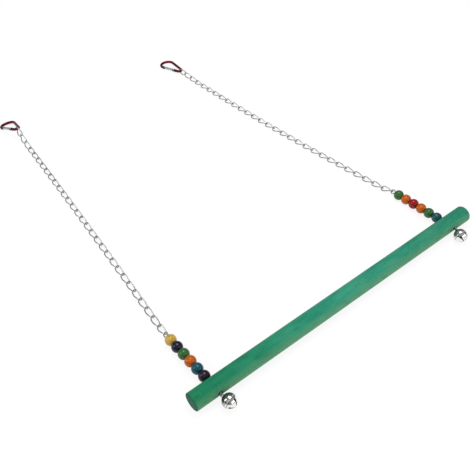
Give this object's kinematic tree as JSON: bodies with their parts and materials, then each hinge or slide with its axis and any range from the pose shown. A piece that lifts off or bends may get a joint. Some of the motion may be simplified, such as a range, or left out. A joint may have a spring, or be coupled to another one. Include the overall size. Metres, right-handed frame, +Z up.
{
  "type": "bird swing",
  "caption": "Bird swing: dyed wooden perch hung on two twisted-link chains, with threaded beads, jingle bells below and a snap hook at the top of each chain.",
  "frame": {"origin": "bottom centre of the box round the swing as it lies on a table", "axes": "+X along the perch, +Y from the perch towards the snap hooks, +Z up from the table; the swing lies flat, chains stretched out"},
  "size_m": [0.4, 0.5925, 0.02],
  "materials": {
    "perch": "green-dyed, open-grained, matt",
    "bead_plum": "plum lacquer, gloss",
    "bead_teal": "teal lacquer, gloss",
    "bead_orange": "orange lacquer, gloss",
    "bead_green": "green lacquer, gloss",
    "bead_indigo": "indigo lacquer, gloss",
    "bead_yellow": "yellow lacquer, gloss",
    "bead_dark_teal": "dark teal lacquer, gloss",
    "bead_red": "red lacquer, gloss",
    "hanger_wire": "zinc-plated",
    "bell": "bright nickel-plated",
    "pellet": "plain steel",
    "chain": "zinc-plated",
    "hook": "dark red anodised",
    "gate": "plain, satin",
    "rivet": "plain steel"
  },
  "bodies": {
    "perch": {"perch": "perch"},
    "left_wire": {"left_wire": "hanger_wire"},
    "left_bead_1": {"left_bead_1": "bead_plum"},
    "left_bead_2": {"left_bead_2": "bead_teal"},
    "left_bead_3": {"left_bead_3": "bead_orange"},
    "left_bead_4": {"left_bead_4": "bead_green"},
    "left_bead_5": {"left_bead_5": "bead_indigo"},
    "left_bead_6": {"left_bead_6": "bead_yellow"},
    "left_bell": {"left_bell_crown": "bell", "left_bell_cup": "bell"},
    "left_pellet": {"left_bell_pellet": "pellet"},
    "left_chain_1": {"left_chain_1": "chain"},
    "left_chain_2": {"left_chain_2": "chain"},
    "left_chain_3": {"left_chain_3": "chain"},
    "left_chain_4": {"left_chain_4": "chain"},
    "left_chain_5": {"left_chain_5": "chain"},
    "left_chain_6": {"left_chain_6": "chain"},
    "left_chain_7": {"left_chain_7": "chain"},
    "left_chain_8": {"left_chain_8": "chain"},
    "left_chain_9": {"left_chain_9": "chain"},
    "left_chain_10": {"left_chain_10": "chain"},
    "left_chain_11": {"left_chain_11": "chain"},
    "left_chain_12": {"left_chain_12": "chain"},
    "left_chain_13": {"left_chain_13": "chain"},
    "left_chain_14": {"left_chain_14": "chain"},
    "left_chain_15": {"left_chain_15": "chain"},
    "left_hook": {"left_hook_body": "hook"},
    "left_gate": {"left_hook_gate": "gate", "left_hook_rivet": "rivet", "left_hook_spring": "rivet"},
    "right_wire": {"right_wire": "hanger_wire"},
    "right_bead_1": {"right_bead_1": "bead_dark_teal"},
    "right_bead_2": {"right_bead_2": "bead_green"},
    "right_bead_3": {"right_bead_3": "bead_orange"},
    "right_bead_4": {"right_bead_4": "bead_red"},
    "right_bead_5": {"right_bead_5": "bead_orange"},
    "right_bead_6": {"right_bead_6": "bead_green"},
    "right_bell": {"right_bell_crown": "bell", "right_bell_cup": "bell"},
    "right_pellet": {"right_bell_pellet": "pellet"},
    "right_chain_1": {"right_chain_1": "chain"},
    "right_chain_2": {"right_chain_2": "chain"},
    "right_chain_3": {"right_chain_3": "chain"},
    "right_chain_4": {"right_chain_4": "chain"},
    "right_chain_5": {"right_chain_5": "chain"},
    "right_chain_6": {"right_chain_6": "chain"},
    "right_chain_7": {"right_chain_7": "chain"},
    "right_chain_8": {"right_chain_8": "chain"},
    "right_chain_9": {"right_chain_9": "chain"},
    "right_chain_10": {"right_chain_10": "chain"},
    "right_chain_11": {"right_chain_11": "chain"},
    "right_chain_12": {"right_chain_12": "chain"},
    "right_chain_13": {"right_chain_13": "chain"},
    "right_chain_14": {"right_chain_14": "chain"},
    "right_chain_15": {"right_chain_15": "chain"},
    "right_hook": {"right_hook_body": "hook"},
    "right_gate": {"right_hook_gate": "gate", "right_hook_rivet": "rivet", "right_hook_spring": "rivet"}
  },
  "joints": [
    {"name": "left_wire_turn", "type": "hinge", "parent": "perch", "child": "left_wire", "pos_m": [-0.173, -0.26821, 0.01], "axis": [0, 0.9987, -0.05], "continuous": true},
    {"name": "left_bead_1_turn", "type": "hinge", "parent": "left_wire", "child": "left_bead_1", "pos_m": [-0.173, -0.26821, 0.01], "axis": [0, 0.9987, -0.05], "continuous": true},
    {"name": "left_bead_2_turn", "type": "hinge", "parent": "left_wire", "child": "left_bead_2", "pos_m": [-0.173, -0.26821, 0.01], "axis": [0, 0.9987, -0.05], "continuous": true},
    {"name": "left_bead_3_turn", "type": "hinge", "parent": "left_wire", "child": "left_bead_3", "pos_m": [-0.173, -0.26821, 0.01], "axis": [0, 0.9987, -0.05], "continuous": true},
    {"name": "left_bead_4_turn", "type": "hinge", "parent": "left_wire", "child": "left_bead_4", "pos_m": [-0.173, -0.26821, 0.01], "axis": [0, 0.9987, -0.05], "continuous": true},
    {"name": "left_bead_5_turn", "type": "hinge", "parent": "left_wire", "child": "left_bead_5", "pos_m": [-0.173, -0.26821, 0.01], "axis": [0, 0.9987, -0.05], "continuous": true},
    {"name": "left_bead_6_turn", "type": "hinge", "parent": "left_wire", "child": "left_bead_6", "pos_m": [-0.173, -0.26821, 0.01], "axis": [0, 0.9987, -0.05], "continuous": true},
    {"name": "left_bell_swing", "type": "hinge", "parent": "left_wire", "child": "left_bell", "pos_m": [-0.173, -0.2804, 0.01016], "axis": [0, -0.2394, 0.9709], "range_deg": [-54, 18]},
    {"name": "left_pellet_roll", "type": "slide", "parent": "left_bell", "child": "left_pellet", "axis": [0, 0, 1], "range_m": [0, 0.0094]},
    {"name": "left_chain_1_bend", "type": "hinge", "parent": "left_wire", "child": "left_chain_1", "pos_m": [-0.17291, -0.18301, 0.00561], "axis": [1, 0, 0], "range_deg": [-45, 45]},
    {"name": "left_chain_2_bend", "type": "hinge", "parent": "left_chain_1", "child": "left_chain_2", "pos_m": [-0.17009, -0.154, 0.00291], "axis": [-1, 0, 0], "range_deg": [-45, 45]},
    {"name": "left_chain_3_bend", "type": "hinge", "parent": "left_chain_2", "child": "left_chain_3", "pos_m": [-0.16731, -0.12473, 0.00291], "axis": [1, 0, 0], "range_deg": [-45, 45]},
    {"name": "left_chain_4_bend", "type": "hinge", "parent": "left_chain_3", "child": "left_chain_4", "pos_m": [-0.16457, -0.09546, 0.00291], "axis": [-1, 0, 0], "range_deg": [-45, 45]},
    {"name": "left_chain_5_bend", "type": "hinge", "parent": "left_chain_4", "child": "left_chain_5", "pos_m": [-0.1619, -0.06618, 0.00291], "axis": [0, 0, 1], "range_deg": [-45, 45]},
    {"name": "left_chain_6_bend", "type": "hinge", "parent": "left_chain_5", "child": "left_chain_6", "pos_m": [-0.15927, -0.0369, 0.00291], "axis": [0, 0, -1], "range_deg": [-45, 45]},
    {"name": "left_chain_7_bend", "type": "hinge", "parent": "left_chain_6", "child": "left_chain_7", "pos_m": [-0.1567, -0.00761, 0.00291], "axis": [1, 0, 0], "range_deg": [-45, 45]},
    {"name": "left_chain_8_bend", "type": "hinge", "parent": "left_chain_7", "child": "left_chain_8", "pos_m": [-0.15419, 0.02168, 0.00291], "axis": [-1, 0, 0], "range_deg": [-45, 45]},
    {"name": "left_chain_9_bend", "type": "hinge", "parent": "left_chain_8", "child": "left_chain_9", "pos_m": [-0.15173, 0.05098, 0.00291], "axis": [0, 0, 1], "range_deg": [-45, 45]},
    {"name": "left_chain_10_bend", "type": "hinge", "parent": "left_chain_9", "child": "left_chain_10", "pos_m": [-0.14932, 0.08028, 0.00291], "axis": [0, 0, -1], "range_deg": [-45, 45]},
    {"name": "left_chain_11_bend", "type": "hinge", "parent": "left_chain_10", "child": "left_chain_11", "pos_m": [-0.14697, 0.10959, 0.00291], "axis": [1, 0, 0], "range_deg": [-45, 45]},
    {"name": "left_chain_12_bend", "type": "hinge", "parent": "left_chain_11", "child": "left_chain_12", "pos_m": [-0.14467, 0.1389, 0.00291], "axis": [-1, 0, 0], "range_deg": [-45, 45]},
    {"name": "left_chain_13_bend", "type": "hinge", "parent": "left_chain_12", "child": "left_chain_13", "pos_m": [-0.14243, 0.16821, 0.00291], "axis": [0, 0, 1], "range_deg": [-45, 45]},
    {"name": "left_chain_14_bend", "type": "hinge", "parent": "left_chain_13", "child": "left_chain_14", "pos_m": [-0.14025, 0.19753, 0.00291], "axis": [0, 0, -1], "range_deg": [-45, 45]},
    {"name": "left_chain_15_bend", "type": "hinge", "parent": "left_chain_14", "child": "left_chain_15", "pos_m": [-0.13812, 0.22669, 0.00509], "axis": [1, 0, 0], "range_deg": [-45, 45]},
    {"name": "left_hook_swing", "type": "hinge", "parent": "left_chain_15", "child": "left_hook", "pos_m": [-0.13632, 0.25213, 0.01431], "axis": [0.9962, 0.0872, 0], "range_deg": [-75, 75]},
    {"name": "left_gate_open", "type": "hinge", "parent": "left_hook", "child": "left_gate", "pos_m": [-0.14258, 0.26203, 0.01127], "axis": [0.0245, -0.2795, -0.9598], "range_deg": [0, 25], "stiffness_Nm_per_rad": 0.01, "springref_deg": -17.19},
    {"name": "right_wire_turn", "type": "hinge", "parent": "perch", "child": "right_wire", "pos_m": [0.1715, -0.26821, 0.01], "axis": [0, 0.9987, -0.05], "continuous": true},
    {"name": "right_bead_1_turn", "type": "hinge", "parent": "right_wire", "child": "right_bead_1", "pos_m": [0.1715, -0.26821, 0.01], "axis": [0, 0.9987, -0.05], "continuous": true},
    {"name": "right_bead_2_turn", "type": "hinge", "parent": "right_wire", "child": "right_bead_2", "pos_m": [0.1715, -0.26821, 0.01], "axis": [0, 0.9987, -0.05], "continuous": true},
    {"name": "right_bead_3_turn", "type": "hinge", "parent": "right_wire", "child": "right_bead_3", "pos_m": [0.1715, -0.26821, 0.01], "axis": [0, 0.9987, -0.05], "continuous": true},
    {"name": "right_bead_4_turn", "type": "hinge", "parent": "right_wire", "child": "right_bead_4", "pos_m": [0.1715, -0.26821, 0.01], "axis": [0, 0.9987, -0.05], "continuous": true},
    {"name": "right_bead_5_turn", "type": "hinge", "parent": "right_wire", "child": "right_bead_5", "pos_m": [0.1715, -0.26821, 0.01], "axis": [0, 0.9987, -0.05], "continuous": true},
    {"name": "right_bead_6_turn", "type": "hinge", "parent": "right_wire", "child": "right_bead_6", "pos_m": [0.1715, -0.26821, 0.01], "axis": [0, 0.9987, -0.05], "continuous": true},
    {"name": "right_bell_swing", "type": "hinge", "parent": "right_wire", "child": "right_bell", "pos_m": [0.1715, -0.2804, 0.01016], "axis": [0, -0.2394, 0.9709], "range_deg": [-22, 50]},
    {"name": "right_pellet_roll", "type": "slide", "parent": "right_bell", "child": "right_pellet", "axis": [0, 0, 1], "range_m": [0, 0.0094]},
    {"name": "right_chain_1_bend", "type": "hinge", "parent": "right_wire", "child": "right_chain_1", "pos_m": [0.17139, -0.18301, 0.00561], "axis": [1, 0, 0], "range_deg": [-45, 45]},
    {"name": "right_chain_2_bend", "type": "hinge", "parent": "right_chain_1", "child": "right_chain_2", "pos_m": [0.16789, -0.15407, 0.00291], "axis": [-1, 0, 0], "range_deg": [-45, 45]},
    {"name": "right_chain_3_bend", "type": "hinge", "parent": "right_chain_2", "child": "right_chain_3", "pos_m": [0.16456, -0.12486, 0.00291], "axis": [1, 0, 0], "range_deg": [-45, 45]},
    {"name": "right_chain_4_bend", "type": "hinge", "parent": "right_chain_3", "child": "right_chain_4", "pos_m": [0.16143, -0.09563, 0.00291], "axis": [-1, 0, 0], "range_deg": [-45, 45]},
    {"name": "right_chain_5_bend", "type": "hinge", "parent": "right_chain_4", "child": "right_chain_5", "pos_m": [0.15852, -0.06638, 0.00291], "axis": [0, 0, 1], "range_deg": [-45, 45]},
    {"name": "right_chain_6_bend", "type": "hinge", "parent": "right_chain_5", "child": "right_chain_6", "pos_m": [0.1558, -0.0371, 0.00291], "axis": [0, 0, -1], "range_deg": [-45, 45]},
    {"name": "right_chain_7_bend", "type": "hinge", "parent": "right_chain_6", "child": "right_chain_7", "pos_m": [0.15329, -0.00781, 0.00291], "axis": [1, 0, 0], "range_deg": [-45, 45]},
    {"name": "right_chain_8_bend", "type": "hinge", "parent": "right_chain_7", "child": "right_chain_8", "pos_m": [0.15098, 0.0215, 0.00291], "axis": [-1, 0, 0], "range_deg": [-45, 45]},
    {"name": "right_chain_9_bend", "type": "hinge", "parent": "right_chain_8", "child": "right_chain_9", "pos_m": [0.14888, 0.05083, 0.00291], "axis": [0, 0, 1], "range_deg": [-45, 45]},
    {"name": "right_chain_10_bend", "type": "hinge", "parent": "right_chain_9", "child": "right_chain_10", "pos_m": [0.14698, 0.08016, 0.00291], "axis": [0, 0, -1], "range_deg": [-45, 45]},
    {"name": "right_chain_11_bend", "type": "hinge", "parent": "right_chain_10", "child": "right_chain_11", "pos_m": [0.14529, 0.10952, 0.00291], "axis": [1, 0, 0], "range_deg": [-45, 45]},
    {"name": "right_chain_12_bend", "type": "hinge", "parent": "right_chain_11", "child": "right_chain_12", "pos_m": [0.1438, 0.13888, 0.00291], "axis": [-1, 0, 0], "range_deg": [-45, 45]},
    {"name": "right_chain_13_bend", "type": "hinge", "parent": "right_chain_12", "child": "right_chain_13", "pos_m": [0.14252, 0.16825, 0.00291], "axis": [0, 0, 1], "range_deg": [-45, 45]},
    {"name": "right_chain_14_bend", "type": "hinge", "parent": "right_chain_13", "child": "right_chain_14", "pos_m": [0.14144, 0.19763, 0.00291], "axis": [0, 0, -1], "range_deg": [-45, 45]},
    {"name": "right_chain_15_bend", "type": "hinge", "parent": "right_chain_14", "child": "right_chain_15", "pos_m": [0.14057, 0.22698, 0.00428], "axis": [1, 0, 0], "range_deg": [-45, 45]},
    {"name": "right_hook_swing", "type": "hinge", "parent": "right_chain_15", "child": "right_hook", "pos_m": [0.14027, 0.23945, 0.0045], "axis": [0.9945, 0.1045, 0], "range_deg": [-75, 75]},
    {"name": "right_gate_open", "type": "hinge", "parent": "right_hook", "child": "right_gate", "pos_m": [0.13379, 0.24966, 0.00389], "axis": [0.0059, -0.0564, -0.9984], "range_deg": [0, 25], "stiffness_Nm_per_rad": 0.01, "springref_deg": -17.19}
  ]
}
